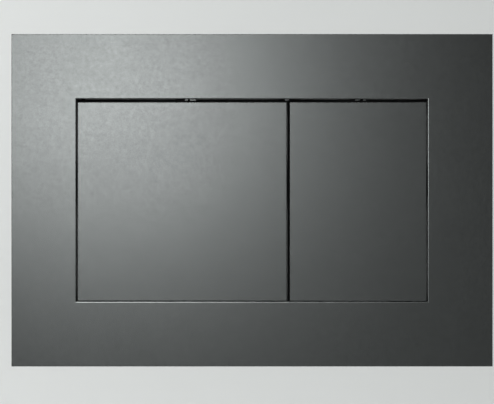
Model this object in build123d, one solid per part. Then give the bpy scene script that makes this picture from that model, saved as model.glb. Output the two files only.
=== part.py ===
from build123d import *

import math
import os

# Dual flush plate for a concealed cistern, in millimetres and degrees.
# X runs to the right, Z up, and Y into the wall. The tiles' face is the plane Y = 0 and the origin
# is the middle of the plate on that plane, so what is seen from the room has a negative Y.

# Cover plate
plate_width = 220.0
plate_height = 152.0
plate_depth = 5.0
border = 29.5
face_wall = 2.0
skirt_wall = 1.8
lip_wall = 1.6
lip_depth = 5.7
cover_edge_radius = 0.25
lip_chamfer_width = 0.25
lip_chamfer_depth = 0.13
tile_clearance = 0.3
cover_rib_wall = 1.2
cover_rib_pitch = 40.0
cover_rib_clearance = 0.3
boss_width = 5.5

# Lugs on the lip that keep the buttons from riding up: offset from the button's middle, and width
lug_drop = 0.8
lug_set_back = 3.2
full_button_lugs = ((1.8, 1.4), (4.8, 2.8))
half_button_lugs = ((-0.1, 2.3), (3.1, 1.4))
end_lug_inset = 3.2
middle_lug_offset = -0.6
lone_lug_width = 1.8
lug_clearance = 0.3

# Buttons
side_gap = 0.75
middle_gap = 1.3
top_gap = 1.7
bottom_gap = 0.5
divider_x = 16.6
button_wall = 2.0
button_skirt_wall = 1.6
button_depth = 6.0
button_edge_radius = 0.3
button_rib_wall = 1.4
button_rib_depth = 3.0
upper_rib_drop = 16.0
pad_width = 12.0
pad_depth = 8.0

# Hinges along the buttons' lower edges
press_angle = 7.0
pivot_depth = 10.0
pivot_rise = 3.1
hinge_inset = 12.0
pin_radius = 1.5
pin_clearance = 0.05
knuckle_radius = 3.5
knuckle_width = 6.0
knuckle_root = 14.0
ear_wall = 2.5
ear_clearance = 0.3

# Catches and bumpers that stop the buttons' upper edges
catch_width = 7.0
catch_wall = 2.0
catch_drop = 2.5
catch_overlap = 3.5
bumper_wall = 1.3
bumper_width = 8.0
bumper_margin = 0.6

# Bearing frame
ring_clearance = 0.3
ring_wall = 2.0
band = 10.0
frame_depth = 12.5
frame_wall = 1.8
fin_clearance = 0.3
fin_set_back = 4.0
snap_height = 30.0
snap_width = 12.0
snap_slit = 1.2
snap_root = 2.0
barb_depth = 4.5
barb_catch = 1.0
barb_ramp = 5.0

# Self-tapping screws
screw_radius = 1.1
screw_hole_clearance = 0.2
screw_head_radius = 2.4
screw_head_height = 1.6
screw_bite = 3.2
screw_tip_clearance = 0.2

# Return springs
spring_width = 10.0
spring_wall = 0.4
spring_tail = 2.7
spring_bend_clearance = 0.4
spring_reach = 20.6
spring_lip = 3.0
spring_lip_rise = 1.2
spring_bend_radius = 2.0
spring_seat_depth = 1.5
spring_seat_wall = 1.6
spring_contact_gap = 0.1
strap_wall = 1.5
strap_height = 4.0
strap_clearance = 0.2

# Mounting frame
collar_gap = 2.0
collar_wall = 2.0
collar_corner_radius = 3.0
flange_width = 9.0
flange_wall = 1.6
flange_corner_radius = 4.0
window_clearance = 0.3
swing_clearance = 0.8
back_wall = 3.0
back_overlap = 1.4
mullion_width = 8.0
bridge_height = 20.0
bridge_rib_wall = 2.0
bridge_rib_depth = 5.0
bridge_rib_clearance = 2.0
guide_wall = 2.35
guide_length = 10.0

# Fixing bolts
bolt_inset = 12.0
bolt_radius = 3.0
bolt_neck_radius = 2.6
bolt_neck_reach = 2.0
bolt_length = 60.0
bolt_head_radius = 7.0
bolt_head_height = 4.0
bolt_slot_width = 1.6
bolt_slot_depth = 2.0
washer_width = 16.0
washer_wall = 1.6
washer_clearance = 0.4
slot_travel = 6.0
slot_clearance = 0.3

# Push rods
rod_spacing = 60.0
rod_height = 8.0
rod_radius = 4.0
rod_reach = 84.0
rod_end_radius = 3.7
rod_end_length = 36.0
rod_clearance = 0.15
rod_socket_clearance = 0.05
cap_radius = 7.0
cap_tip_radius = 2.5
cap_tip_height = 1.2
cap_front_wall = 1.2
contact_gap = 0.3

# Places worked out from the sizes above
front = -plate_depth
cover_back = front + face_wall
aperture_width = plate_width - 2 * border
aperture_height = plate_height - 2 * border
aperture_right = aperture_width / 2
aperture_top = aperture_height / 2
lip_back = front + lip_depth
cover_rib_back = -flange_wall - cover_rib_clearance

ring_front = lip_back + ring_clearance
ring_back = ring_front + ring_wall
frame_width = aperture_width + 2 * band
frame_height = aperture_height + 2 * band
frame_back = ring_front + frame_depth
band_middle = (lip_wall + band - frame_wall) / 2
screw_row_x = aperture_right + band_middle
screw_row_z = aperture_top + band_middle

button_bottom = bottom_gap - aperture_top
button_top = aperture_top - top_gap
button_back = front + button_depth
panel_back = front + button_wall
full_left = side_gap - aperture_right
full_right = divider_x - middle_gap / 2
half_left = divider_x + middle_gap / 2
half_right = aperture_right - side_gap
spans = {"full": (full_left, full_right), "half": (half_left, half_right)}
lugs = {"full": full_button_lugs, "half": half_button_lugs}

pivot_y = front + pivot_depth
pivot_z = button_bottom + pivot_rise
press = math.radians(press_angle)
bumper_back = ring_back + bumper_wall
catch_top = aperture_top + catch_overlap
spring_seat = panel_back + spring_seat_depth
spring_bend_z = spring_bend_clearance - aperture_top
spring_contact_z = spring_bend_z + spring_reach
catch_back = bumper_back + catch_wall

# A pressed button's catch swings back this far, and the mounting frame's back stays behind it
catch_swing = (catch_back - pivot_y) * math.cos(press) + (catch_top - pivot_z) * math.sin(press)
back_front = pivot_y + catch_swing + swing_clearance
back_end = back_front + back_wall
barb_front = ring_back + barb_depth
barb_reach = collar_gap + barb_catch

# A rod's tip keeps the contact gap behind the button's pad, which tilts as it is pressed
pad_face = front + pad_depth
pad_lead = pivot_y - pad_face
lever = rod_height - pivot_z
pad_travel = (lever * math.sin(press) - pad_lead) / math.cos(press) + pad_lead
rod_travel = pad_travel + cap_tip_radius * math.tan(press)
rod_x = {"full": -rod_spacing / 2, "half": rod_spacing / 2}

cap_front = pad_face + contact_gap
socket_front = cap_front + cap_tip_height + cap_front_wall
cap_back = back_front - rod_travel - contact_gap
bridge_low = rod_height - bridge_height / 2
bridge_high = rod_height + bridge_height / 2
collar_width = frame_width + 2 * (collar_gap + collar_wall)
collar_height = frame_height + 2 * (collar_gap + collar_wall)
washer_front = back_front - washer_wall
bolt_x = {"left": bolt_inset - aperture_right, "right": aperture_right - bolt_inset}


# Sketches are drawn as the front is seen (x, z), as the section is seen from the right (y, z) or
# as the plan is seen from above (x, y), and are then run through a depth, a width or a height
def through_depth(sketch, start, end):
    return extrude(Plane.XZ.offset(-end) * sketch, amount=end - start)


def through_width(sketch, start, end):
    return extrude(Plane.YZ.offset(start) * sketch, amount=end - start)


def through_height(sketch, start, end):
    return extrude(Plane.XY.offset(start) * sketch, amount=end - start)


def across(sketch, middle, width):
    return through_width(sketch, middle - width / 2, middle + width / 2)


def rod_along_depth(radius, x, z, start, end):
    return through_depth(Pos(x, z) * Circle(radius), start, end)


def outline(*corners):
    return make_face(Polyline(*corners, close=True))


# A turned piece is half its section, as (radius, y) corners, spun about its own axis along Y
def turned(half_section, x, z):
    return Pos(x, 0, z) * revolve(half_section, axis=Axis.Y)


def rectangle(left, right, bottom, top):
    return Pos((left + right) / 2, (bottom + top) / 2) * Rectangle(right - left, top - bottom)


def middle_of(name):
    left, right = spans[name]
    return (left + right) / 2


def hinge_places(name):
    left, right = spans[name]
    return (left + hinge_inset, right - hinge_inset)


def frame_screw_places():
    return [(x, z) for z in (screw_row_z, -screw_row_z) for x in (-screw_row_x, screw_row_x)]


# A moulded panel has the edges round its front face rounded
def rounded_panel(sketch, start, end, radius):
    block = through_depth(sketch, start, end)
    return fillet(block.faces().sort_by(Axis.Y)[0].edges(), radius)


# Cover plate
def cover_shell():
    shell = rounded_panel(Rectangle(plate_width, plate_height), front, -tile_clearance, cover_edge_radius)
    inside = Rectangle(plate_width - 2 * skirt_wall, plate_height - 2 * skirt_wall)
    shell -= through_depth(inside, cover_back, 0)
    shell += through_depth(lip_outline(), cover_back, lip_back)
    shell -= through_depth(Rectangle(aperture_width, aperture_height), front, lip_back)
    face = shell.faces().sort_by(Axis.Y)[0]
    return chamfer(face.inner_wires()[0].edges(), lip_chamfer_width, lip_chamfer_depth, reference=face)


def lip_outline():
    return Rectangle(aperture_width + 2 * lip_wall, aperture_height + 2 * lip_wall)


def cover_ribs():
    columns = int(plate_width / 2 / cover_rib_pitch)
    rows = int(plate_height / 2 / cover_rib_pitch)
    upright = Rectangle(cover_rib_wall, plate_height)
    level = Rectangle(plate_width, cover_rib_wall)
    grid = [Pos(i * cover_rib_pitch, 0) * upright for i in range(-columns, columns + 1)]
    grid += [Pos(0, i * cover_rib_pitch) * level for i in range(-rows, rows + 1)]
    inside = Rectangle(plate_width - 2 * skirt_wall, plate_height - 2 * skirt_wall)
    return through_depth((Sketch() + grid) & (inside - lip_outline()), cover_back, cover_rib_back)


def cover_lugs():
    places = [(end_lug_inset - aperture_right, lone_lug_width)]
    places += [(divider_x + middle_lug_offset, lone_lug_width)]
    for name, pairs in lugs.items():
        places += [(middle_of(name) + offset, width) for offset, width in pairs]
    low = aperture_top - lug_drop
    high = aperture_top + lip_wall
    tabs = [rectangle(x - width / 2, x + width / 2, low, high) for x, width in places]
    return through_depth(Sketch() + tabs, front + lug_set_back, lip_back)


def cover_plate():
    cover = cover_shell() + cover_ribs() + cover_lugs()
    pilot_end = ring_front - screw_bite - screw_tip_clearance
    for x, z in frame_screw_places():
        cover += through_depth(Pos(x, z) * Rectangle(boss_width, boss_width), cover_back, ring_front)
        cover -= rod_along_depth(screw_radius, x, z, pilot_end, ring_front)
    return cover


# Buttons
def button_tray(name):
    left, right = spans[name]
    wall = button_skirt_wall
    face = rectangle(left, right, button_bottom, button_top)
    hollow = rectangle(left + wall, right - wall, button_bottom + wall, button_top - wall)
    tray = rounded_panel(face, front, button_back, button_edge_radius)
    return tray - through_depth(hollow, panel_back, button_back)


def button_ribs(name):
    left = spans[name][0] + button_skirt_wall
    right = spans[name][1] - button_skirt_wall
    low = button_bottom + button_skirt_wall
    high = button_top - button_skirt_wall
    half_wall = button_rib_wall / 2
    ribs = [rectangle(x - half_wall, x + half_wall, low, high) for x in hinge_places(name)]
    for z in (rod_height, button_top - upper_rib_drop):
        ribs.append(rectangle(left, right, z - half_wall, z + half_wall))
    return through_depth(Sketch() + ribs, panel_back, panel_back + button_rib_depth)


def knuckle_section():
    pivot = Pos(pivot_y, pivot_z)
    root = Line((panel_back, button_bottom + button_skirt_wall), (panel_back, button_bottom + knuckle_root))
    barrel = pivot * Circle(knuckle_radius)
    return make_hull(barrel.edges() + root.edges()) - pivot * Circle(pin_radius + pin_clearance)


def catch_section():
    stem_top = button_top - catch_drop
    stem_bottom = stem_top - catch_wall
    return outline((panel_back, stem_bottom), (catch_back, stem_bottom), (catch_back, catch_top),
                   (bumper_back, catch_top), (bumper_back, stem_top), (panel_back, stem_top))


def spring_seat_section():
    half_wall = spring_seat_wall / 2
    return rectangle(panel_back, spring_seat, spring_contact_z - half_wall, spring_contact_z + half_wall)


def button(name):
    shape = button_tray(name) + button_ribs(name)
    pad = Pos(rod_x[name], rod_height) * Rectangle(pad_width, pad_width)
    shape += through_depth(pad, panel_back, pad_face)
    for x in hinge_places(name):
        shape += across(knuckle_section(), x, knuckle_width)
    shape += across(catch_section(), middle_of(name), catch_width)
    shape += across(spring_seat_section(), middle_of(name), spring_width)
    return shape


# Hinge pins, bumpers and springs
def ear_spans(name):
    left, right = hinge_places(name)
    inner = knuckle_width / 2 + ear_clearance
    outer = inner + ear_wall
    return ((left - outer, left - inner), (right + inner, right + outer))


def hinge_pin(name):
    left_ear, right_ear = ear_spans(name)
    return through_width(Pos(pivot_y, pivot_z) * Circle(pin_radius), left_ear[0], right_ear[1])


def stop_bumper(name):
    low = aperture_top + bumper_margin
    high = catch_top + bumper_margin
    return across(rectangle(ring_back, bumper_back, low, high), middle_of(name), bumper_width)


def return_spring(name):
    foot_y = ring_back + spring_wall / 2
    contact_y = spring_seat + spring_contact_gap + spring_wall / 2
    tail = (foot_y, -screw_row_z - spring_tail)
    bend = (foot_y, spring_bend_z)
    contact = (contact_y, spring_contact_z)
    lip = (contact_y + spring_lip_rise, spring_contact_z + spring_lip)
    line = FilletPolyline(tail, bend, contact, lip, radius=spring_bend_radius)
    return across(trace(line, spring_wall), middle_of(name), spring_width)


def frame_screw(x, z):
    head = Pos(x, z) * RegularPolygon(screw_head_radius, 6)
    shank = rod_along_depth(screw_radius, x, z, ring_front - screw_bite, ring_back)
    return shank + through_depth(head, ring_back, ring_back + screw_head_height)


# Bearing frame
def ear_section():
    root_y = ring_front + ring_wall / 2
    root = Line((root_y, frame_wall - frame_height / 2), (root_y, -aperture_top))
    barrel = Pos(pivot_y, pivot_z) * Circle(knuckle_radius)
    return make_hull(barrel.edges() + root.edges())


# A strap over the foot of a spring holds it against the ring
def spring_strap(name):
    tunnel_width = spring_width + 2 * strap_clearance
    tunnel_back = ring_back + spring_wall + strap_clearance
    low = -screw_row_z - strap_height / 2
    high = low + strap_height
    block = rectangle(ring_back, tunnel_back + strap_wall, low, high)
    strap = across(block, middle_of(name), tunnel_width + 2 * strap_wall)
    return strap - across(rectangle(ring_back, tunnel_back, low, high), middle_of(name), tunnel_width)


def divider_fin():
    reach = frame_height / 2 - frame_wall / 2
    fin_wall = middle_gap - 2 * fin_clearance
    nose_top = aperture_top - lug_drop - lug_clearance
    nose = rectangle(front + fin_set_back, ring_back, lug_clearance - aperture_top, nose_top)
    web = rectangle(ring_front, frame_back, -reach, reach)
    return across(nose + web, divider_x, fin_wall)


def snap_slits(x, z):
    half_width = snap_width / 2
    slits = rectangle(ring_back + snap_root, frame_back, z + half_width, z + half_width + snap_slit)
    slits += rectangle(ring_back + snap_root, frame_back, z - half_width - snap_slit, z - half_width)
    return across(slits, x, 2 * frame_wall)


def barb(side, z):
    wall = side * (frame_width / 2 - frame_wall / 2)
    skin = side * frame_width / 2
    tip = side * (frame_width / 2 + barb_reach)
    section = outline((wall, barb_front), (tip, barb_front), (skin, barb_front + barb_ramp),
                      (wall, barb_front + barb_ramp))
    return through_height(section, z - snap_width / 2, z + snap_width / 2)


def bearing_frame():
    window = Rectangle(aperture_width, aperture_height)
    outer = Rectangle(frame_width, frame_height)
    inner = Rectangle(frame_width - 2 * frame_wall, frame_height - 2 * frame_wall)
    frame = through_depth(outer - window, ring_front, ring_back)
    frame += through_depth(outer - inner, ring_front, frame_back)
    frame += divider_fin()
    for name in spans:
        frame += spring_strap(name)
        for start, end in ear_spans(name):
            frame += through_width(ear_section(), start, end)
            frame -= through_width(Pos(pivot_y, pivot_z) * Circle(pin_radius), start, end)
    for x, z in frame_screw_places():
        frame -= rod_along_depth(screw_radius + screw_hole_clearance, x, z, ring_front, ring_back)
    for z in (-snap_height, snap_height):
        for side in (-1, 1):
            frame -= snap_slits(side * frame_width / 2, z)
            frame += barb(side, z)
    return frame


# Mounting frame
def barb_windows(z):
    start = barb_front - window_clearance
    end = barb_front + barb_ramp * barb_catch / barb_reach + window_clearance
    half_width = snap_width / 2 + window_clearance
    return across(rectangle(start, end, z - half_width, z + half_width), 0, collar_width)


# The back closes the view through the gaps round the buttons, and leaves a window behind each
# button above and below the bridge that guides the rods
def back_outline():
    left = full_left + back_overlap
    right = half_right - back_overlap
    mullion_left = divider_x - mullion_width / 2
    mullion_right = divider_x + mullion_width / 2
    closed = Rectangle(collar_width - collar_wall, collar_height - collar_wall)
    for low, high in ((button_bottom + back_overlap, bridge_low), (bridge_high, button_top - back_overlap)):
        closed -= rectangle(left, mullion_left, low, high)
        closed -= rectangle(mullion_right, right, low, high)
    slot = SlotCenterToCenter(slot_travel, 2 * (bolt_radius + slot_clearance))
    for x in bolt_x.values():
        closed -= Pos(x, rod_height) * slot
    return closed


def bridge_stiffening():
    rib_end = bolt_x["right"] - washer_width / 2 - bridge_rib_clearance
    ribs = rectangle(-rib_end, rib_end, bridge_low, bridge_low + bridge_rib_wall)
    ribs += rectangle(-rib_end, rib_end, bridge_high - bridge_rib_wall, bridge_high)
    return through_depth(ribs, back_end, back_end + bridge_rib_depth)


def mounting_frame():
    collar = RectangleRounded(collar_width, collar_height, collar_corner_radius)
    inside = Rectangle(collar_width - 2 * collar_wall, collar_height - 2 * collar_wall)
    flange_size = (collar_width + 2 * flange_width, collar_height + 2 * flange_width)
    flange = RectangleRounded(*flange_size, flange_corner_radius)
    frame = through_depth(flange - inside, -flange_wall, 0)
    frame += through_depth(collar - inside, 0, back_end)
    frame += through_depth(back_outline(), back_front, back_end) + bridge_stiffening()
    bore = rod_radius + rod_clearance
    for x in rod_x.values():
        frame += rod_along_depth(bore + guide_wall, x, rod_height, back_end, back_end + guide_length)
        frame -= rod_along_depth(bore, x, rod_height, back_front, back_end + guide_length)
    for z in (-snap_height, snap_height):
        frame -= barb_windows(z)
    return frame


# Fixing bolts and washers
def fixing_bolt(x):
    head_front = washer_front - bolt_head_height
    thread_start = back_end + bolt_neck_reach
    tip = washer_front + bolt_length
    section = outline((0, head_front), (bolt_head_radius, head_front), (bolt_head_radius, washer_front),
                      (bolt_neck_radius, washer_front), (bolt_neck_radius, thread_start),
                      (bolt_radius, thread_start), (bolt_radius, tip), (0, tip))
    slot = Pos(x, rod_height) * Rectangle(2 * bolt_head_radius, bolt_slot_width)
    return turned(section, x, rod_height) - through_depth(slot, head_front, head_front + bolt_slot_depth)


def fixing_washer(x):
    plate = Rectangle(washer_width, washer_width) - Circle(bolt_radius + washer_clearance)
    return through_depth(Pos(x, rod_height) * plate, washer_front, back_front)


# Push rods and their caps
def push_rod(x):
    shoulder = rod_reach - rod_end_length
    section = outline((0, socket_front), (rod_radius, socket_front), (rod_radius, shoulder),
                      (rod_end_radius, shoulder), (rod_end_radius, rod_reach), (0, rod_reach))
    return turned(section, x, rod_height)


def rod_cap(x):
    hexagon = Pos(x, rod_height) * RegularPolygon(cap_radius, 6)
    cap = through_depth(hexagon, cap_front + cap_tip_height, cap_back)
    cap += rod_along_depth(cap_tip_radius, x, rod_height, cap_front, cap_front + cap_tip_height)
    return cap - rod_along_depth(rod_radius + rod_socket_clearance, x, rod_height, socket_front, cap_back)


def all_pieces():
    pieces = {"cover_plate": cover_plate(), "bearing_frame": bearing_frame()}
    pieces["mounting_frame"] = mounting_frame()
    for name in spans:
        pieces[f"{name}_flush_button"] = button(name)
        pieces[f"{name}_hinge_pin"] = hinge_pin(name)
        pieces[f"{name}_stop_bumper"] = stop_bumper(name)
        pieces[f"{name}_return_spring"] = return_spring(name)
        pieces[f"{name}_push_rod"] = push_rod(rod_x[name])
        pieces[f"{name}_rod_cap"] = rod_cap(rod_x[name])
    for number, (x, z) in enumerate(frame_screw_places(), start=1):
        pieces[f"frame_screw_{number}"] = frame_screw(x, z)
    for end, x in bolt_x.items():
        pieces[f"fixing_bolt_{end}"] = fixing_bolt(x)
        pieces[f"fixing_washer_{end}"] = fixing_washer(x)
    return pieces


os.makedirs("parts", exist_ok=True)
for node, shape in all_pieces().items():
    export_step(shape, f"parts/{node}.step")
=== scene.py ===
import math

import bpy
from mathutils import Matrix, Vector


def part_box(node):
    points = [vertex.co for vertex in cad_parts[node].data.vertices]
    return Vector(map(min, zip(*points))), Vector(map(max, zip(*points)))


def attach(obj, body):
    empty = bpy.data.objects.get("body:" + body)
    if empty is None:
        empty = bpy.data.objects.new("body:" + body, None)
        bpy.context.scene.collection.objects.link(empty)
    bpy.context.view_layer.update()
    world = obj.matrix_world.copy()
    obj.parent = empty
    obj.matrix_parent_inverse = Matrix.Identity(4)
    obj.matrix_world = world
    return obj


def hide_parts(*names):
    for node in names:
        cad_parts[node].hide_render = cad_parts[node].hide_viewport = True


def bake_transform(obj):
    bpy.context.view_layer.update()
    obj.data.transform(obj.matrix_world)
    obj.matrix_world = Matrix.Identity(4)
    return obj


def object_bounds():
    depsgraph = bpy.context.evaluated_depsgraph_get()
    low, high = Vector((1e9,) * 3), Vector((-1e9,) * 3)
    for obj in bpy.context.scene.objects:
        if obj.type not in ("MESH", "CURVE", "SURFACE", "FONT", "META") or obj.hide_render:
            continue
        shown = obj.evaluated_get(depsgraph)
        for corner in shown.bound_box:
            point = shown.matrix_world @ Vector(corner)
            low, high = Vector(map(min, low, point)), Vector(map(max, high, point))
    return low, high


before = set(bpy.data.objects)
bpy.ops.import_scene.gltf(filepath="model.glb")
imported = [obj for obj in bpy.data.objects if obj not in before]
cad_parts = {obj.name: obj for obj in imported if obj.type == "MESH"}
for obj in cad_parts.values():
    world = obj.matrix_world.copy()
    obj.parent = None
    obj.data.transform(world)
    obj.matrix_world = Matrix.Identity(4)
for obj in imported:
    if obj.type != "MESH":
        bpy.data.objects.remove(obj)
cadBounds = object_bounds()
print("frame loaded:", len(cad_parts), "nodes")

mm = 0.001
weldGap = 0.002 * mm
flatWithin = math.radians(0.5)
# A drawn rounding has one middle point, this share of its width in from the corner
cornerShare = 0.3
xAxis = 0
zAxis = 2
buttonNames = ("full", "half")


# Small helpers for working as in the viewport

def deselectAll():
    if bpy.context.object and bpy.context.object.mode != "OBJECT":
        bpy.ops.object.mode_set(mode="OBJECT")
    bpy.ops.object.select_all(action="DESELECT")


def pickOnly(piece):
    deselectAll()
    piece.select_set(True)
    bpy.context.view_layer.objects.active = piece


def editMesh(piece, mode="FACE", selectAll=True):
    pickOnly(piece)
    bpy.ops.object.mode_set(mode="EDIT")
    bpy.ops.mesh.select_mode(type=mode)
    bpy.ops.mesh.select_all(action="SELECT" if selectAll else "DESELECT")


def leaveEdit():
    bpy.ops.object.mode_set(mode="OBJECT")


# Narrows the selected edges to those whose end points pass the test, and stays in edit mode
def keepEdges(piece, test):
    leaveEdit()
    for part in (*piece.data.vertices, *piece.data.polygons):
        part.select = False
    for edge in piece.data.edges:
        edge.select = edge.select and test([piece.data.vertices[i].co for i in edge.vertices])
    bpy.ops.object.mode_set(mode="EDIT")


def applyModifier(piece, kind, **settings):
    pickOnly(piece)
    modifier = piece.modifiers.new(kind.lower(), kind)
    for key, value in settings.items():
        setattr(modifier, key, value)
    bpy.ops.object.modifier_apply(modifier=modifier.name)


# Large flat faces keep their own normals, so only the eased edges look round
def smoothByAngle(piece, degrees=48):
    pickOnly(piece)
    bpy.ops.object.shade_smooth_by_angle(angle=math.radians(degrees))
    applyModifier(piece, "WEIGHTED_NORMAL", mode="FACE_AREA", weight=100, keep_sharp=True)


def roundEdges(piece, width, segments=2, degrees=40):
    applyModifier(piece, "BEVEL", width=width, segments=segments, limit_method="ANGLE",
                  angle_limit=math.radians(degrees), use_clamp_overlap=True, harden_normals=False)


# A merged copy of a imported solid, with its flat faces whole again and its stored normals cleared
def copySolid(node, name):
    piece = bpy.data.objects.new(name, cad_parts[node].data.copy())
    bpy.context.scene.collection.objects.link(piece)
    piece.data.materials.clear()
    pickOnly(piece)
    bpy.ops.mesh.customdata_custom_splitnormals_clear()
    editMesh(piece)
    bpy.ops.mesh.remove_doubles(threshold=weldGap)
    bpy.ops.mesh.dissolve_limited(angle_limit=flatWithin)
    leaveEdit()
    return piece


# A line drawn point by point from one vertex, which stays in edit mode
def drawLine(name, points):
    deselectAll()
    bpy.ops.mesh.primitive_plane_add(size=mm)
    piece = bpy.context.object
    piece.name = name
    editMesh(piece, "VERT")
    bpy.ops.mesh.merge(type="CENTER")
    bpy.ops.transform.translate(value=points[0])
    for start, end in zip(points, points[1:]):
        bpy.ops.mesh.extrude_vertices_move(TRANSFORM_OT_translate={"value": end - start})
    return piece


# A profile of (radius, depth) corners is spun about the depth axis
def turnPiece(name, profile, centre, steps):
    piece = drawLine(name, [Vector((centre[0] + radius, depth, centre[1])) for radius, depth in profile])
    bpy.ops.mesh.select_all(action="SELECT")
    bpy.ops.mesh.spin(steps=steps, angle=2 * math.pi, center=(centre[0], 0, centre[1]), axis=(0, 1, 0))
    bpy.ops.mesh.select_all(action="SELECT")
    bpy.ops.mesh.remove_doubles(threshold=weldGap)
    bpy.ops.mesh.normals_make_consistent(inside=False)
    leaveEdit()
    return piece


# A thread is one notch swept round a helix with turns to spare, then cut square at both ends and closed
def cutThread(name, thread, centre, start, end):
    pitch = thread["pitch"]
    crest = thread["crest"]
    root = thread["crest"] - thread["depth"]
    spareTurns = 1.5
    spare = spareTurns * pitch
    turns = int((end - start) / pitch) + int(2 * spareTurns)
    notch = [(root, 0.0), (root, 0.15), (crest, 0.45), (crest, 0.6), (root, 0.9), (root, 1.0)]
    piece = drawLine(name, [Vector((radius, 0, share * pitch)) for radius, share in notch])
    leaveEdit()
    applyModifier(piece, "SCREW", steps=thread["steps"], render_steps=thread["steps"], screw_offset=pitch,
                  iterations=turns, use_merge_vertices=True, merge_threshold=weldGap / 2, axis="Z")
    editMesh(piece)
    bpy.ops.mesh.remove_doubles(threshold=weldGap)
    for level, side in ((spare, -1), (spare + end - start, 1)):
        bpy.ops.mesh.select_all(action="SELECT")
        bpy.ops.mesh.bisect(plane_co=(0, 0, level), plane_no=(0, 0, side), clear_outer=True)
    bpy.ops.mesh.select_all(action="SELECT")
    bpy.ops.mesh.fill_holes(sides=0)
    bpy.ops.mesh.select_all(action="SELECT")
    bpy.ops.mesh.normals_make_consistent(inside=False)
    leaveEdit()
    piece.rotation_euler = (-math.pi / 2, 0, 0)
    piece.location = (centre[0], start - spare, centre[1])
    pickOnly(piece)
    bpy.ops.object.transform_apply(location=True, rotation=True, scale=True)
    return piece


def cutBox(piece, place, size):
    deselectAll()
    bpy.ops.mesh.primitive_cube_add(size=1, location=place, scale=size)
    cutter = bpy.context.object
    applyModifier(piece, "BOOLEAN", object=cutter, operation="DIFFERENCE", solver="EXACT")
    bpy.data.objects.remove(cutter)


def joinPieces(name, *pieces):
    pickOnly(pieces[0])
    for piece in pieces:
        piece.select_set(True)
    bpy.ops.object.join()
    pieces[0].name = name
    return pieces[0]


def dressPiece(piece, finish, body, node, *otherFinishes):
    piece.data.materials.clear()
    for name in (finish, *otherFinishes):
        piece.data.materials.append(finishes[name])
    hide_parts(node)
    if body:
        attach(piece, body)


# Shader groups shared by the finishes

def newGroup(name, inputs, outputs):
    group = bpy.data.node_groups.new(name, "ShaderNodeTree")
    for label, value in inputs.items():
        socket = group.interface.new_socket(label, in_out="INPUT", socket_type="NodeSocketFloat")
        socket.default_value = value
    for label in outputs:
        group.interface.new_socket(label, in_out="OUTPUT", socket_type="NodeSocketFloat")
    return group, group.nodes.new("NodeGroupInput"), group.nodes.new("NodeGroupOutput")


def addNode(tree, kind, **settings):
    node = tree.nodes.new(kind)
    for key, value in settings.items():
        setattr(node, key, value)
    return node


def addNoise(tree, vector, scale, detail=3.0, roughness=0.5):
    noise = addNode(tree, "ShaderNodeTexNoise")
    noise.inputs["Detail"].default_value = detail
    noise.inputs["Roughness"].default_value = roughness
    tree.links.new(vector, noise.inputs["Vector"])
    if isinstance(scale, (int, float)):
        noise.inputs["Scale"].default_value = scale
    else:
        tree.links.new(scale, noise.inputs["Scale"])
    return noise


# Grain of a moulded or sprayed skin: fine height, mottling over many sizes, and a slow cloudiness
def buildGrainGroup():
    group, source, sink = newGroup("skinGrain", {"Fine": 1800.0, "Mottle": 220.0, "Cloud": 60.0},
                                   ("Height", "Mottle", "Cloudiness"))
    place = addNode(group, "ShaderNodeTexCoord").outputs["Object"]
    fine = addNoise(group, place, source.outputs["Fine"], detail=2.0, roughness=0.6)
    mottle = addNoise(group, place, source.outputs["Mottle"], detail=6.0, roughness=0.8)
    cloud = addNoise(group, place, source.outputs["Cloud"], detail=4.0, roughness=0.55)
    group.links.new(fine.outputs["Fac"], sink.inputs["Height"])
    group.links.new(mottle.outputs["Fac"], sink.inputs["Mottle"])
    group.links.new(cloud.outputs["Fac"], sink.inputs["Cloudiness"])
    return group


# Fine lines along one axis, as drawing or rolling leaves them on steel
def buildLinesGroup():
    group, source, sink = newGroup("drawnLines", {"Across": 2500.0, "Along": 60.0}, ("Lines", "Tarnish"))
    place = addNode(group, "ShaderNodeTexCoord").outputs["Object"]
    stretch = addNode(group, "ShaderNodeCombineXYZ")
    group.links.new(source.outputs["Across"], stretch.inputs["X"])
    group.links.new(source.outputs["Across"], stretch.inputs["Y"])
    group.links.new(source.outputs["Along"], stretch.inputs["Z"])
    scaled = addNode(group, "ShaderNodeVectorMath", operation="MULTIPLY")
    group.links.new(place, scaled.inputs[0])
    group.links.new(stretch.outputs["Vector"], scaled.inputs[1])
    lines = addNoise(group, scaled.outputs["Vector"], scale=1.0, detail=2.0)
    tarnish = addNoise(group, place, scale=240.0, detail=4.0)
    group.links.new(lines.outputs["Fac"], sink.inputs["Lines"])
    group.links.new(tarnish.outputs["Fac"], sink.inputs["Tarnish"])
    return group


def remap(tree, value, low, high):
    return remapFrom(tree, value, 0.0, 1.0, low, high)


def remapFrom(tree, value, start, end, low, high):
    node = addNode(tree, "ShaderNodeMapRange")
    for label, number in (("From Min", start), ("From Max", end), ("To Min", low), ("To Max", high)):
        node.inputs[label].default_value = number
    tree.links.new(value, node.inputs["Value"])
    return node.outputs["Result"]


def blendColours(tree, share, colourA, colourB):
    node = addNode(tree, "ShaderNodeMix", data_type="RGBA")
    node.inputs["A"].default_value = (*colourA, 1)
    node.inputs["B"].default_value = (*colourB, 1)
    tree.links.new(share, node.inputs["Factor"])
    return node.outputs["Result"]


def startMaterial(name):
    material = bpy.data.materials.new(name + "_finish")
    material.use_nodes = True
    return material, material.node_tree, material.node_tree.nodes["Principled BSDF"]


def addBump(tree, shader, height, strength, distance):
    bump = addNode(tree, "ShaderNodeBump")
    bump.inputs["Strength"].default_value = strength
    bump.inputs["Distance"].default_value = distance
    tree.links.new(height, bump.inputs["Height"])
    tree.links.new(bump.outputs["Normal"], shader.inputs["Normal"])


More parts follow.
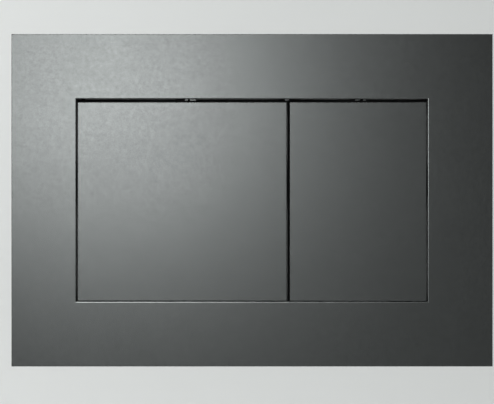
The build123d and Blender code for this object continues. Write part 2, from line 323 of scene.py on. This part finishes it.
# The skin's grain as each finish sets it
def addSkin(tree, grain, finish):
    skin = addNode(tree, "ShaderNodeGroup", node_tree=grain)
    for label in ("Fine", "Mottle", "Cloud"):
        skin.inputs[label].default_value = finish[label.lower()]
    return skin


grainDepth = {"lacquer": 0.05 * mm, "moulding": 0.08 * mm, "steel": 0.03 * mm}

# Satin metallic lacquer: a faint mottling of two greys under a fine sprayed skin,
# and a darker copy for recessed faces in the gaps, partly a thinner drifted coat and partly painted shade
lacquers = {
    "dark_lacquer": {"dark": (0.079, 0.084, 0.083), "light": (0.160, 0.170, 0.168), "metallic": 1.0,
                     "roughness": (0.247, 0.267), "fine": 1500.0, "mottle": 540.0, "cloud": 40.0,
                     "bump": 0.02},
    # Half as bright as the front lacquer: thinner coat plus painted shade on the recessed faces
    "drift_and_shade_lacquer": {"dark": (0.042, 0.045, 0.044), "light": (0.080, 0.085, 0.084), "metallic": 1.0,
                        "roughness": (0.250, 0.280), "fine": 2200.0, "mottle": 900.0, "cloud": 90.0,
                        "bump": 0.04}}


def buildLacquer(name, grain):
    lacquer = lacquers[name]
    material, tree, shader = startMaterial(name)
    skin = addSkin(tree, grain, lacquer)
    colour = blendColours(tree, skin.outputs["Mottle"], lacquer["dark"], lacquer["light"])
    tree.links.new(colour, shader.inputs["Base Color"])
    tree.links.new(remap(tree, skin.outputs["Cloudiness"], *lacquer["roughness"]), shader.inputs["Roughness"])
    shader.inputs["Metallic"].default_value = lacquer["metallic"]
    addBump(tree, shader, skin.outputs["Height"], lacquer["bump"], grainDepth["lacquer"])
    return material


# Moulded plastics and rubber differ only in colour, gloss and grain; the gap plastic is a near-black copy of
# the black plastic, painted shade for what the gaps show
mouldings = {
    "gap_shade_plastic": {"dark": (0.004, 0.004, 0.005), "light": (0.007, 0.007, 0.008),
                    "roughness": (0.55, 0.70), "specular": 0.10, "fine": 2600.0, "mottle": 700.0,
                    "cloud": 90.0, "bump": 0.25},
    "black_plastic": {"dark": (0.012, 0.012, 0.013), "light": (0.020, 0.020, 0.021),
                      "roughness": (0.50, 0.64), "specular": 0.30, "fine": 2600.0, "mottle": 700.0,
                      "cloud": 90.0, "bump": 0.25},
    "grey_plastic": {"dark": (0.046, 0.048, 0.051), "light": (0.062, 0.064, 0.067),
                     "roughness": (0.42, 0.55), "specular": 0.5, "fine": 2200.0, "mottle": 600.0,
                     "cloud": 45.0, "bump": 0.22},
    "white_plastic": {"dark": (0.720, 0.720, 0.690), "light": (0.790, 0.790, 0.765),
                      "roughness": (0.30, 0.42), "specular": 0.5, "fine": 2400.0, "mottle": 700.0,
                      "cloud": 110.0, "bump": 0.10},
    "bumper_rubber": {"dark": (0.018, 0.018, 0.018), "light": (0.034, 0.033, 0.032),
                      "roughness": (0.72, 0.88), "specular": 0.4, "fine": 3500.0, "mottle": 900.0,
                      "cloud": 300.0, "bump": 0.35}}


def buildMoulding(name, grain):
    finish = mouldings[name]
    material, tree, shader = startMaterial(name)
    skin = addSkin(tree, grain, finish)
    colour = blendColours(tree, skin.outputs["Cloudiness"], finish["dark"], finish["light"])
    tree.links.new(colour, shader.inputs["Base Color"])
    tree.links.new(remap(tree, skin.outputs["Mottle"], *finish["roughness"]), shader.inputs["Roughness"])
    shader.inputs["Specular IOR Level"].default_value = finish["specular"]
    addBump(tree, shader, skin.outputs["Height"], finish["bump"], grainDepth["moulding"])
    return material


# Bright zinc on turned steel, and rolled spring strip
steels = {
    "zinc_steel": {"dark": (0.500, 0.510, 0.520), "light": (0.690, 0.690, 0.670), "roughness": (0.22, 0.38),
                   "across": 1800.0, "along": 400.0, "bump": 0.06},
    "spring_steel": {"dark": (0.420, 0.420, 0.430), "light": (0.600, 0.600, 0.600), "roughness": (0.20, 0.34),
                     "across": 3200.0, "along": 70.0, "bump": 0.04}}


def buildSteel(name, lines):
    finish = steels[name]
    material, tree, shader = startMaterial(name)
    drawn = addNode(tree, "ShaderNodeGroup", node_tree=lines)
    drawn.inputs["Across"].default_value = finish["across"]
    drawn.inputs["Along"].default_value = finish["along"]
    colour = blendColours(tree, drawn.outputs["Tarnish"], finish["dark"], finish["light"])
    tree.links.new(colour, shader.inputs["Base Color"])
    tree.links.new(remap(tree, drawn.outputs["Lines"], *finish["roughness"]), shader.inputs["Roughness"])
    shader.inputs["Metallic"].default_value = 1.0
    addBump(tree, shader, drawn.outputs["Lines"], finish["bump"], grainDepth["steel"])
    return material


skinGrain = buildGrainGroup()
drawnLines = buildLinesGroup()
finishes = {name: buildLacquer(name, skinGrain) for name in lacquers}
finishes.update({name: buildMoulding(name, skinGrain) for name in mouldings})
finishes.update({name: buildSteel(name, drawnLines) for name in steels})
print("finishes ready:", sorted(finishes))


# Sprayed shells: the cover and the buttons are lacquered from the front, and their backs stay bare
sprayed = {
    "bodies": {"cover_plate": "plate", "full_flush_button": "full_button",
               "half_flush_button": "half_button"},
    "aperture": (80.5 * mm, 46.5 * mm), "cornerCut": 0.8 * mm, "frontDepth": 0.6 * mm, "sprayDepth": 3.3 * mm,
    "gapDepth": 6.0 * mm, "driftShadeReach": 70.0 * mm, "sideWithin": 0.02 * mm, "facing": 0.05,
    "backEase": 0.12 * mm, "sharpFrom": 40, "smoothBelow": 25}


def cutAcross(piece, axis, level):
    editMesh(piece)
    point = [0, 0, 0]
    normal = [0, 0, 0]
    point[axis] = level
    normal[axis] = 1
    bpy.ops.mesh.bisect(plane_co=point, plane_no=normal)
    leaveEdit()


# The rounded front edges are in the solid already, so only sharp edges behind them are eased
def easeBehind(piece, depth):
    editMesh(piece, "EDGE", selectAll=False)
    bpy.ops.mesh.edges_select_sharp(sharpness=math.radians(sprayed["sharpFrom"]))
    keepEdges(piece, lambda ends: min(end.y for end in ends) > depth)
    bpy.ops.mesh.bevel(offset=sprayed["backEase"], segments=2, affect="EDGES", clamp_overlap=True)
    leaveEdit()


# Short cuts beside each corner keep the mitred roundings straight along the edges
def cutBesideCorners(piece, node, low, high):
    inset = sprayed["cornerCut"]
    levels = {xAxis: [low.x + inset, high.x - inset], zAxis: [low.z + inset, high.z - inset]}
    if node == "cover_plate":
        for axis, reach in zip((xAxis, zAxis), sprayed["aperture"]):
            levels[axis] += [inset - reach, reach - inset]
    for axis, places in levels.items():
        for level in places:
            cutAcross(piece, axis, level)


# Front and outer walls are lacquered, recessed front faces near the middle get the darker lacquer (a thinner
# coat and painted shade), the gaps' other walls, the deeper faces and those near the ends get the near-black
# plastic as painted shade, and the rest is bare
def markSpray(piece, low, high):
    lacquered, bare, driftShaded, inGapShade = range(len(piece.data.materials))
    for face in piece.data.polygons:
        middle = face.center
        depth = middle.y - low.y
        fromSide = min(middle.x - low.x, high.x - middle.x, middle.z - low.z, high.z - middle.z)
        outside = fromSide < sprayed["sideWithin"]
        facesFront = face.normal.y < -sprayed["facing"]
        face.material_index = bare
        if outside or (facesFront and depth < sprayed["frontDepth"]):
            face.material_index = lacquered
        # Recessed front faces near the middle take the darker lacquer, a thinner coat plus painted shade
        elif facesFront and depth < sprayed["sprayDepth"] and abs(middle.x) < sprayed["driftShadeReach"]:
            face.material_index = driftShaded
        # Walls and deeper faces inside the gaps take the near-black plastic as painted shade
        elif face.normal.y < sprayed["facing"] and depth < sprayed["gapDepth"]:
            face.material_index = inGapShade


def buildSprayed(node, body):
    low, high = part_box(node)
    piece = copySolid(node, node + "_shell")
    easeBehind(piece, low.y + sprayed["frontDepth"])
    cutBesideCorners(piece, node, low, high)
    smoothByAngle(piece, sprayed["smoothBelow"])
    dressPiece(piece, "dark_lacquer", body, node, "black_plastic", "drift_and_shade_lacquer", "gap_shade_plastic")
    markSpray(piece, low, high)


for node, body in sprayed["bodies"].items():
    buildSprayed(node, body)


# Moulded shells: copies of the solids with their sharp edges eased
frontFacing = -0.3
shells = {
    "bearing_frame": {"finish": "black_plastic", "front": "gap_shade_plastic", "body": "plate", "edge": 0.15 * mm},
    "mounting_frame": {"finish": "grey_plastic", "body": "plate", "edge": 0.30 * mm},
    "fixing_washer_left": {"finish": "zinc_steel", "body": "plate", "edge": 0.25 * mm},
    "fixing_washer_right": {"finish": "zinc_steel", "body": "plate", "edge": 0.25 * mm},
    "full_rod_cap": {"finish": "white_plastic", "body": "full_rod", "edge": 0.35 * mm},
    "half_rod_cap": {"finish": "white_plastic", "body": "half_rod", "edge": 0.35 * mm},
    "full_stop_bumper": {"finish": "bumper_rubber", "body": "plate", "edge": 0.40 * mm},
    "half_stop_bumper": {"finish": "bumper_rubber", "body": "plate", "edge": 0.40 * mm}}

for node, shell in shells.items():
    piece = copySolid(node, node + "_shell")
    roundEdges(piece, shell["edge"])
    smoothByAngle(piece)
    # The bearing frame's front faces, seen through the gaps, take the near-black plastic as painted shade
    if "front" in shell:
        dressPiece(piece, shell["finish"], shell["body"], node, shell["front"])
        for face in piece.data.polygons:
            face.material_index = int(face.normal.y < frontFacing)
    else:
        dressPiece(piece, shell["finish"], shell["body"], node)
print("shells made:", len(shells))


# Leaf springs: cut across many times along their height
springCuts = {"step": 0.8 * mm, "edge": 0.05 * mm, "sharpFrom": 60}


def buildSpring(name):
    node = name + "_return_spring"
    low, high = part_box(node)
    piece = copySolid(node, node + "_strip")
    roundEdges(piece, springCuts["edge"], segments=1, degrees=springCuts["sharpFrom"])
    level = low.z + springCuts["step"]
    while level < high.z:
        cutAcross(piece, zAxis, level)
        level += springCuts["step"]
    smoothByAngle(piece)
    dressPiece(piece, "spring_steel", None, node)
    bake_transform(piece)


for name in buttonNames:
    buildSpring(name)
print("springs made")


# Hinge axles with domed ends
axleEnds = {"dome": 0.5 * mm, "segments": 4, "sharpFrom": 60}


def buildAxle(name):
    node = name + "_hinge_pin"
    piece = copySolid(node, node + "_axle")
    roundEdges(piece, axleEnds["dome"], axleEnds["segments"], axleEnds["sharpFrom"])
    smoothByAngle(piece)
    dressPiece(piece, "zinc_steel", "plate", node)


for name in buttonNames:
    buildAxle(name)
print("axles made")


# Push rods with grooves for cutting to length
rod = {"groovePitch": 4.0 * mm, "grooveDepth": 0.25 * mm, "grooveWidth": 1.0 * mm, "tipRound": 0.8 * mm,
       "shoulder": 36.0 * mm, "endRadius": 3.7 * mm, "steps": 48}


def buildRod(name):
    node = name + "_push_rod"
    low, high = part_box(node)
    centre = ((low.x + high.x) / 2, (low.z + high.z) / 2)
    radius = (high.x - low.x) / 2
    endRadius = rod["endRadius"]
    grooveRadius = endRadius - rod["grooveDepth"]
    step = high.y - rod["shoulder"]
    ease = rod["tipRound"]
    corner = cornerShare * ease
    profile = [(0, low.y), (radius, low.y), (radius, step - ease / 2), (radius - ease / 4, step),
               (endRadius, step)]
    place = step + rod["groovePitch"]
    while place < high.y - 2 * rod["groovePitch"]:
        profile += [(endRadius, place), (grooveRadius, place + rod["grooveDepth"]),
                    (grooveRadius, place + rod["grooveWidth"] - rod["grooveDepth"]),
                    (endRadius, place + rod["grooveWidth"])]
        place += rod["groovePitch"]
    profile += [(endRadius, high.y - ease), (endRadius - corner, high.y - corner),
                (endRadius - ease, high.y), (0, high.y)]
    piece = turnPiece(node + "_turned", profile, centre, rod["steps"])
    smoothByAngle(piece)
    dressPiece(piece, "white_plastic", name + "_rod", node)


for name in buttonNames:
    buildRod(name)
print("rods made")


# Fixing bolts: slotted head, plain neck and a long thread
bolt = {"thread": {"pitch": 1.0 * mm, "crest": 3.0 * mm, "depth": 0.55 * mm, "steps": 28},
        "headHeight": 4.0 * mm, "headEase": 0.7 * mm, "seatEase": 0.2 * mm, "headSteps": 56,
        "slotWidth": 1.6 * mm, "slotDepth": 2.0 * mm, "slotEase": 0.08 * mm, "slotSharpFrom": 60,
        "frameWall": 3.0 * mm, "neck": 2.6 * mm, "neckReach": 2.0 * mm, "neckTaper": 0.5 * mm,
        "neckSteps": 32, "overlap": 0.1 * mm, "tipTaper": 1.0 * mm, "tipOver": 0.2 * mm,
        "tipUnder": 0.3 * mm, "smoothBelow": 30}


def buildBolt(side):
    node = "fixing_bolt_" + side
    low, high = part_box(node)
    centre = ((low.x + high.x) / 2, (low.z + high.z) / 2)
    headRadius = (high.x - low.x) / 2
    seat = low.y + bolt["headHeight"]
    ease = bolt["headEase"]
    corner = cornerShare * ease
    rim = bolt["seatEase"]
    headProfile = [(0, low.y), (headRadius - ease, low.y), (headRadius - corner, low.y + corner),
                   (headRadius, low.y + ease), (headRadius, seat - rim), (headRadius - rim, seat), (0, seat)]
    head = turnPiece(node + "_head", headProfile, centre, bolt["headSteps"])
    cutBox(head, (centre[0], low.y, centre[1]), (3 * headRadius, 2 * bolt["slotDepth"], bolt["slotWidth"]))
    roundEdges(head, bolt["slotEase"], segments=1, degrees=bolt["slotSharpFrom"])
    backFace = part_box("fixing_washer_" + side)[1].y + bolt["frameWall"]
    threadStart = backFace + bolt["neckReach"]
    threadEnd = high.y - bolt["tipTaper"]
    root = bolt["thread"]["crest"] - bolt["thread"]["depth"]
    neckStart = seat - bolt["overlap"]
    neckEnd = threadStart + bolt["neckTaper"]
    neckProfile = [(0, neckStart), (bolt["neck"], neckStart), (bolt["neck"], threadStart),
                   (root, neckEnd), (0, neckEnd)]
    neck = turnPiece(node + "_neck", neckProfile, centre, bolt["neckSteps"])
    thread = cutThread(node + "_thread", bolt["thread"], centre, threadStart, threadEnd)
    tipStart = threadEnd - bolt["overlap"]
    tipProfile = [(0, tipStart), (root + bolt["tipOver"], tipStart), (root - bolt["tipUnder"], high.y),
                  (0, high.y)]
    tip = turnPiece(node + "_tip", tipProfile, centre, bolt["neckSteps"])
    piece = joinPieces(node + "_turned", head, neck, thread, tip)
    smoothByAngle(piece, bolt["smoothBelow"])
    dressPiece(piece, "zinc_steel", "plate", node)


for side in ("left", "right"):
    buildBolt(side)
print("bolts made")


# Frame screws: six-sided head with a cross recess, and a coarse thread
screw = {"thread": {"pitch": 0.9 * mm, "crest": 1.1 * mm, "depth": 0.28 * mm, "steps": 20},
         "headSides": 6, "headHeight": 1.6 * mm, "headEase": 0.25 * mm, "overlap": 0.1 * mm,
         "crossLength": 2.6 * mm, "crossWidth": 0.55 * mm, "crossDepth": 0.9 * mm, "smoothBelow": 30}


def buildScrew(number):
    node = "frame_screw_%d" % number
    low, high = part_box(node)
    centre = ((low.x + high.x) / 2, (low.z + high.z) / 2)
    seat = high.y - screw["headHeight"]
    deselectAll()
    bpy.ops.mesh.primitive_cylinder_add(vertices=screw["headSides"], radius=(high.x - low.x) / 2,
                                        depth=screw["headHeight"],
                                        location=(centre[0], high.y - screw["headHeight"] / 2, centre[1]),
                                        rotation=(math.pi / 2, math.pi / 2, 0))
    head = bpy.context.object
    bpy.ops.object.transform_apply(location=True, rotation=True, scale=True)
    roundEdges(head, screw["headEase"], segments=3)
    for size in ((screw["crossLength"], screw["crossWidth"]), (screw["crossWidth"], screw["crossLength"])):
        cutBox(head, (centre[0], high.y, centre[1]), (size[0], 2 * screw["crossDepth"], size[1]))
    thread = cutThread(node + "_thread", screw["thread"], centre, low.y, seat + screw["overlap"])
    piece = joinPieces(node + "_turned", head, thread)
    smoothByAngle(piece, screw["smoothBelow"])
    dressPiece(piece, "zinc_steel", "plate", node)


for number in (1, 2, 3, 4):
    buildScrew(number)
print("screws made")


# Stage: a pale sweep behind and below, and a tent that only reflections see,
# dark in front of the plate, glowing faintly below it and at its sides, as light that shows only in
# reflections
stage = {"floorHeight": -0.75, "backDistance": 2.6, "halfWidth": 3.5, "frontReach": -3.5, "backTop": 3.2,
         "sweepRadius": 0.6, "sweepSegments": 12, "smoothBelow": 60, "colour": (0.67, 0.68, 0.675),
         "paler": 1.03, "mottle": 6.0, "roughness": 0.9, "tentRadius": 2.4, "tentCut": -0.05,
         "cloth": (0.01, 0.01, 0.01), "tentBand": (-1.0, 1.0), "tentFront": (-2.0, -1.6), "tentSides": 0.32,
         "tentTint": (0.98, 1.0, 0.99),
         "tentGlow": ((0.0, 0.05), (0.15, 0.10), (0.35, 0.22), (0.65, 0.0), (1.0, 0.0))}


def buildSweep():
    deselectAll()
    bpy.ops.mesh.primitive_plane_add(size=1)
    sweep = bpy.context.object
    sweep.name = "studio_sweep"
    depth = stage["backDistance"] - stage["frontReach"]
    sweep.scale = (2 * stage["halfWidth"], depth, 1)
    sweep.location = (0, stage["frontReach"] + depth / 2, stage["floorHeight"])
    bpy.ops.object.transform_apply(location=True, rotation=True, scale=True)
    editMesh(sweep, "EDGE")
    keepEdges(sweep, lambda ends: min(end.y for end in ends) > stage["backDistance"] - mm)
    rise = stage["backTop"] - stage["floorHeight"]
    bpy.ops.mesh.extrude_region_move(TRANSFORM_OT_translate={"value": (0, 0, rise)})
    leaveEdit()
    roundEdges(sweep, stage["sweepRadius"], stage["sweepSegments"])
    smoothByAngle(sweep, stage["smoothBelow"])
    material, tree, shader = startMaterial("pale_card")
    mottle = addNoise(tree, addNode(tree, "ShaderNodeTexCoord").outputs["Object"], stage["mottle"])
    paler = tuple(min(1.0, part * stage["paler"]) for part in stage["colour"])
    colour = blendColours(tree, mottle.outputs["Fac"], stage["colour"], paler)
    tree.links.new(colour, shader.inputs["Base Color"])
    shader.inputs["Roughness"].default_value = stage["roughness"]
    sweep.data.materials.append(material)


def tintGlow(level):
    return (*(level * part for part in stage["tentTint"]), 1)


def fillRamp(ramp, levels):
    for place, level in levels[1:-1]:
        ramp.elements.new(place)
    for element, (place, level) in zip(ramp.elements, levels):
        element.position = place
        element.color = tintGlow(level)


def buildTent():
    deselectAll()
    bpy.ops.mesh.primitive_uv_sphere_add(segments=48, ring_count=24, radius=stage["tentRadius"])
    tent = bpy.context.object
    tent.name = "dark_tent"
    editMesh(tent)
    bpy.ops.mesh.bisect(plane_co=(0, stage["tentCut"], 0), plane_no=(0, 1, 0), clear_outer=True)
    leaveEdit()
    material, tree, shader = startMaterial("glowing_tent_cloth")
    shader.inputs["Base Color"].default_value = (*stage["cloth"], 1)
    shader.inputs["Roughness"].default_value = 1.0
    shader.inputs["Specular IOR Level"].default_value = 0.0
    place = addNode(tree, "ShaderNodeSeparateXYZ")
    tree.links.new(addNode(tree, "ShaderNodeTexCoord").outputs["Object"], place.inputs["Vector"])
    glow = addNode(tree, "ShaderNodeValToRGB")
    tree.links.new(remapFrom(tree, place.outputs["Z"], *stage["tentBand"], 0.0, 1.0), glow.inputs["Fac"])
    fillRamp(glow.color_ramp, stage["tentGlow"])
    inFront = addNode(tree, "ShaderNodeMix", data_type="RGBA")
    share = remapFrom(tree, place.outputs["Y"], *stage["tentFront"], 1.0, 0.0)
    tree.links.new(share, inFront.inputs["Factor"])
    inFront.inputs["A"].default_value = tintGlow(stage["tentSides"])
    tree.links.new(glow.outputs["Color"], inFront.inputs["B"])
    tree.links.new(inFront.outputs["Result"], shader.inputs["Emission Color"])
    shader.inputs["Emission Strength"].default_value = 1.0
    tent.data.materials.append(material)
    tent.visible_camera = False
    tent.visible_diffuse = False
    tent.visible_shadow = False
    tent.visible_transmission = False


buildSweep()
buildTent()


# Lights: one large softbox up to the left, two strips for the bright lines along the lip,
# a wash on the backdrop and a fill for the back
lamps = {
    "softbox": {"azimuth": -0.106, "elevation": 0.086, "distance": 2.06,
                "width": 0.337, "height": 0.301, "power": 3.60},
    "topStrip": {"place": (-0.47, -0.89, 1.10), "aim": (-0.47, 0, -0.05),
                 "width": 0.92, "height": 0.40, "power": 11.8},
    "leftStrip": {"place": (-1.05, -0.95, 0.25), "aim": (0.08, 0, 0.25),
                  "width": 0.40, "height": 0.50, "power": 3.9},
    "backWash": {"place": (-1.5, 1.35, 1.0), "aim": (-0.3, 2.6, 0.0),
                 "width": 0.8, "height": 0.8, "power": 16.0},
    "rearFill": {"place": (0.9, 1.7, 1.3), "aim": (0, 0, 0),
                 "width": 1.0, "height": 1.0, "power": 5.0}}


def addLamp(name, place, aim, lamp):
    data = bpy.data.lights.new(name, "AREA")
    data.shape = "RECTANGLE"
    data.size = lamp["width"]
    data.size_y = lamp["height"]
    data.energy = lamp["power"]
    light = bpy.data.objects.new(name, data)
    bpy.context.scene.collection.objects.link(light)
    light.location = place
    light.rotation_euler = (Vector(aim) - Vector(place)).to_track_quat("-Z", "Y").to_euler()
    light.visible_camera = False


soft = lamps["softbox"]
softPlace = Vector((math.cos(soft["elevation"]) * math.sin(soft["azimuth"]),
                    -math.cos(soft["elevation"]) * math.cos(soft["azimuth"]),
                    math.sin(soft["elevation"]))) * soft["distance"]
addLamp("softbox", softPlace, (0, 0, 0), soft)
for name in ("topStrip", "leftStrip", "backWash", "rearFill"):
    addLamp(name, lamps[name]["place"], lamps[name]["aim"], lamps[name])

# World: a little brighter to the eye and in reflections than in the light it gives
worldLight = {"seen": 0.72, "given": 0.62, "colour": (0.98, 1.0, 0.99)}


def buildWorld():
    world = bpy.data.worlds.new("studio")
    world.use_nodes = True
    bpy.context.scene.world = world
    tree = world.node_tree
    background = tree.nodes["Background"]
    background.inputs["Color"].default_value = (*worldLight["colour"], 1)
    path = addNode(tree, "ShaderNodeLightPath")
    seen = path.outputs["Is Camera Ray"]
    for label in ("Is Glossy Ray", "Is Transmission Ray"):
        either = addNode(tree, "ShaderNodeMath", operation="MAXIMUM")
        tree.links.new(seen, either.inputs[0])
        tree.links.new(path.outputs[label], either.inputs[1])
        seen = either.outputs["Value"]
    tree.links.new(remap(tree, seen, worldLight["given"], worldLight["seen"]), background.inputs["Strength"])


buildWorld()
bpy.context.scene.view_settings.view_transform = "Standard"

# Camera: square to the plate, framed as 494 x 404 pixels
view = {"distance": 0.95, "pixelsWide": 494, "pixelSize": 0.4571 * mm, "plateRight": 5.05,
        "plateUp": 1.74, "sensor": 36.0}


def buildCamera():
    data = bpy.data.cameras.new("camera")
    data.sensor_width = view["sensor"]
    data.lens = view["sensor"] * view["distance"] / (view["pixelsWide"] * view["pixelSize"])
    camera = bpy.data.objects.new("camera", data)
    bpy.context.scene.collection.objects.link(camera)
    camera.location = (-view["plateRight"] * view["pixelSize"], cadBounds[0][1] - view["distance"],
                       -view["plateUp"] * view["pixelSize"])
    camera.rotation_euler = (math.pi / 2, 0, 0)
    bpy.context.scene.camera = camera


buildCamera()
print("stage, lights and camera ready")
